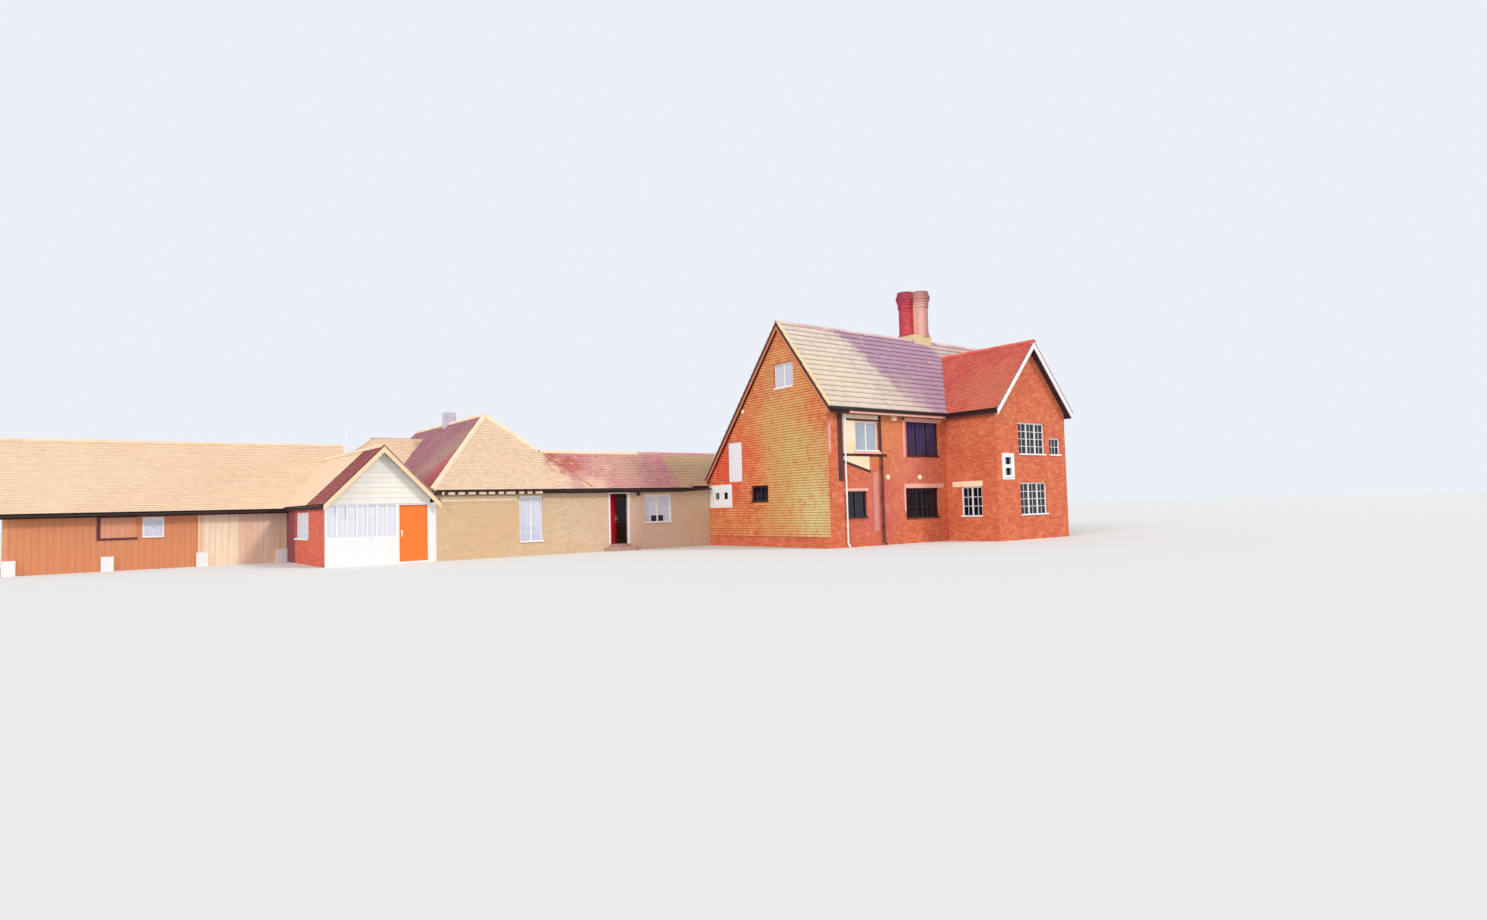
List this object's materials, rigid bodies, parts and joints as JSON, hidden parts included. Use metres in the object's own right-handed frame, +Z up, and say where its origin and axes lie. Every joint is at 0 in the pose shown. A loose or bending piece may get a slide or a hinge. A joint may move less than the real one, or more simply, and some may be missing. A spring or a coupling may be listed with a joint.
{
  "type": "farmhouse",
  "caption": "Old brick and tile-hung farmhouse with a cross wing, low tiled link, hipped block, gabled porch range and boarded cart range, all hollow, with two plank doors that swing.",
  "frame": {"origin": "middle of the plan's bounding box, on the ground", "axes": "+X along the house front to its right end, +Y from the front to the back, +Z up"},
  "size_m": [36.46, 21.48, 10.9754],
  "materials": {
    "brick": "rough",
    "roof_tiles": "rough",
    "stone_floor": "rough",
    "boards": "rough",
    "white_paint": "satin",
    "red_paint": "satin",
    "window_glass": "clear",
    "iron": "satin"
  },
  "bodies": {
    "farmhouse": {"attic_floor": "boards", "back_wall": "brick", "block_back_wall": "brick", "block_chimney": "brick", "block_front_hip_roof": "roof_tiles", "block_front_wall": "brick", "block_left_roof": "roof_tiles", "block_left_wall": "brick", "block_right_roof": "roof_tiles", "block_right_wall": "brick", "cart_back_roof": "roof_tiles", "cart_back_wall": "boards", "cart_front_roof": "roof_tiles", "cart_front_wall": "boards", "cart_hatch": "boards", "cart_left_gable": "boards", "cart_post_blocks": "white_paint", "door_pins": "iron", "first_floor": "boards", "front_wall": "brick", "ground_floor": "stone_floor", "house_back_roof": "roof_tiles", "house_bargeboards": "white_paint", "house_chimney": "brick", "house_front_roof": "roof_tiles", "house_window_frames": "white_paint", "house_window_glass": "window_glass", "left_gable_wall": "brick", "link_back_roof": "roof_tiles", "link_back_wall": "brick", "link_door_frame": "white_paint", "link_door_step": "brick", "link_front_end_roof": "roof_tiles", "link_front_roof": "roof_tiles", "link_wall_left_of_door": "brick", "link_wall_over_door": "brick", "link_wall_right_of_door": "brick", "loft_door": "white_paint", "porch_and_cart_floor": "stone_floor", "porch_bargeboards": "white_paint", "porch_door_frame": "white_paint", "porch_gable_boards": "white_paint", "porch_glass": "window_glass", "porch_glazed_front": "white_paint", "porch_left_roof": "roof_tiles", "porch_left_wall": "brick", "porch_right_roof": "roof_tiles", "right_gable_wall": "brick", "tall_bay_front_roof": "roof_tiles", "tall_bay_hip_roof": "roof_tiles", "wing_bargeboards": "white_paint", "wing_front_wall": "brick", "wing_left_roof": "roof_tiles", "wing_right_roof": "roof_tiles", "wing_side_walls": "brick", "yard_floor": "stone_floor", "yard_window_frames": "white_paint", "yard_window_glass": "window_glass"},
    "link_door_leaf": {"link_door": "red_paint"},
    "porch_door_leaf": {"porch_door": "red_paint"}
  },
  "joints": [
    {"name": "link_door_hinge", "type": "hinge", "parent": "farmhouse", "child": "link_door_leaf", "pos_m": [0.476, -0.472, 1.2], "axis": [0, 0, 1], "range_deg": [-44, 51]},
    {"name": "porch_door_hinge", "type": "hinge", "parent": "farmhouse", "child": "porch_door_leaf", "pos_m": [-6.626, -0.465, 1], "axis": [0, 0, -1], "range_deg": [0, 95]}
  ]
}
